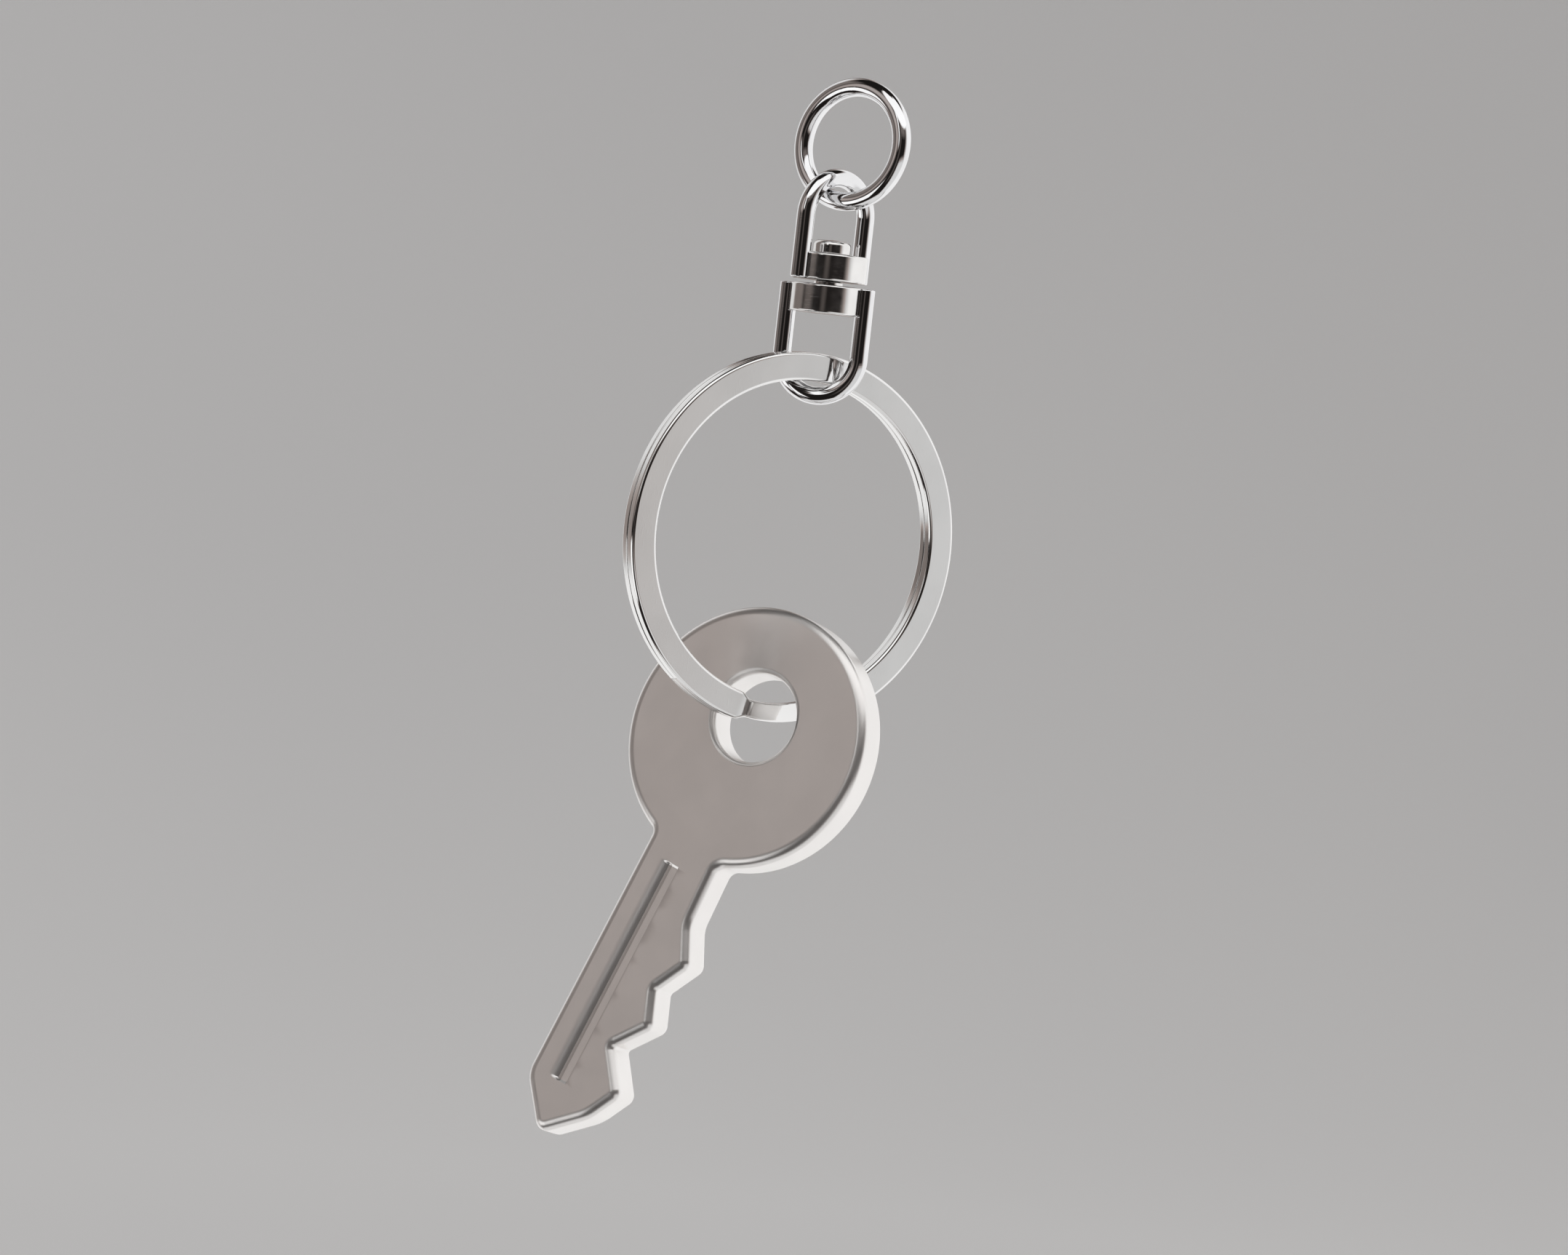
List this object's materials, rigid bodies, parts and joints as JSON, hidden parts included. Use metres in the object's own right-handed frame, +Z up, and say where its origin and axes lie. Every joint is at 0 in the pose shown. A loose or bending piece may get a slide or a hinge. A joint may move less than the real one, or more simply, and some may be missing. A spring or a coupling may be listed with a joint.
{
  "type": "split key ring",
  "caption": "Flat split ring hanging by a small two-part swivel from a round-wire top ring, carrying a thick soft-edged key with a round bow and a grooved, notched blade.",
  "frame": {"origin": "highest point of the top ring's hole, where a hook or another ring carries the chain", "axes": "+Z up along the swivel's axis, -Y out of the front face of the split ring, +X to the right seen from the front"},
  "size_m": [0.032, 0.0211, 0.092],
  "materials": {
    "chromed_wire": "mirror polished",
    "chromed_swivel": "mirror polished",
    "chromed_flat_ring": "mirror polished",
    "satin_key": "warm grey satin"
  },
  "bodies": {
    "top_ring": {"top_ring": "chromed_wire"},
    "swivel_upper": {"swivel_upper_loop": "chromed_wire", "swivel_upper_collar": "chromed_swivel"},
    "swivel_lower": {"swivel_lower_collar": "chromed_swivel", "swivel_lower_loop": "chromed_wire", "swivel_rivet": "chromed_swivel"},
    "split_ring": {"split_ring": "chromed_flat_ring"},
    "key": {"key": "satin_key"}
  },
  "joints": [
    {"name": "swivel_swing", "type": "hinge", "parent": "top_ring", "child": "swivel_upper", "pos_m": [-0.00059, -0.00027, -0.00898], "axis": [0.4205, -0.9073, 0], "range_deg": [-75, 75]},
    {"name": "swivel_spin", "type": "hinge", "parent": "swivel_upper", "child": "swivel_lower", "pos_m": [-0.00057, 0.00073, -0.01597], "axis": [0, 0, 1], "continuous": true},
    {"name": "split_ring_turn", "type": "hinge", "parent": "swivel_lower", "child": "split_ring", "pos_m": [-0.00153, 0.00073, -0.03797], "axis": [0, 1, 0], "range_deg": [-60, 60]},
    {"name": "key_swing", "type": "hinge", "parent": "split_ring", "child": "key", "pos_m": [-0.00153, 0.00073, -0.05277], "axis": [1, 0, 0], "range_deg": [-75, 75]}
  ]
}
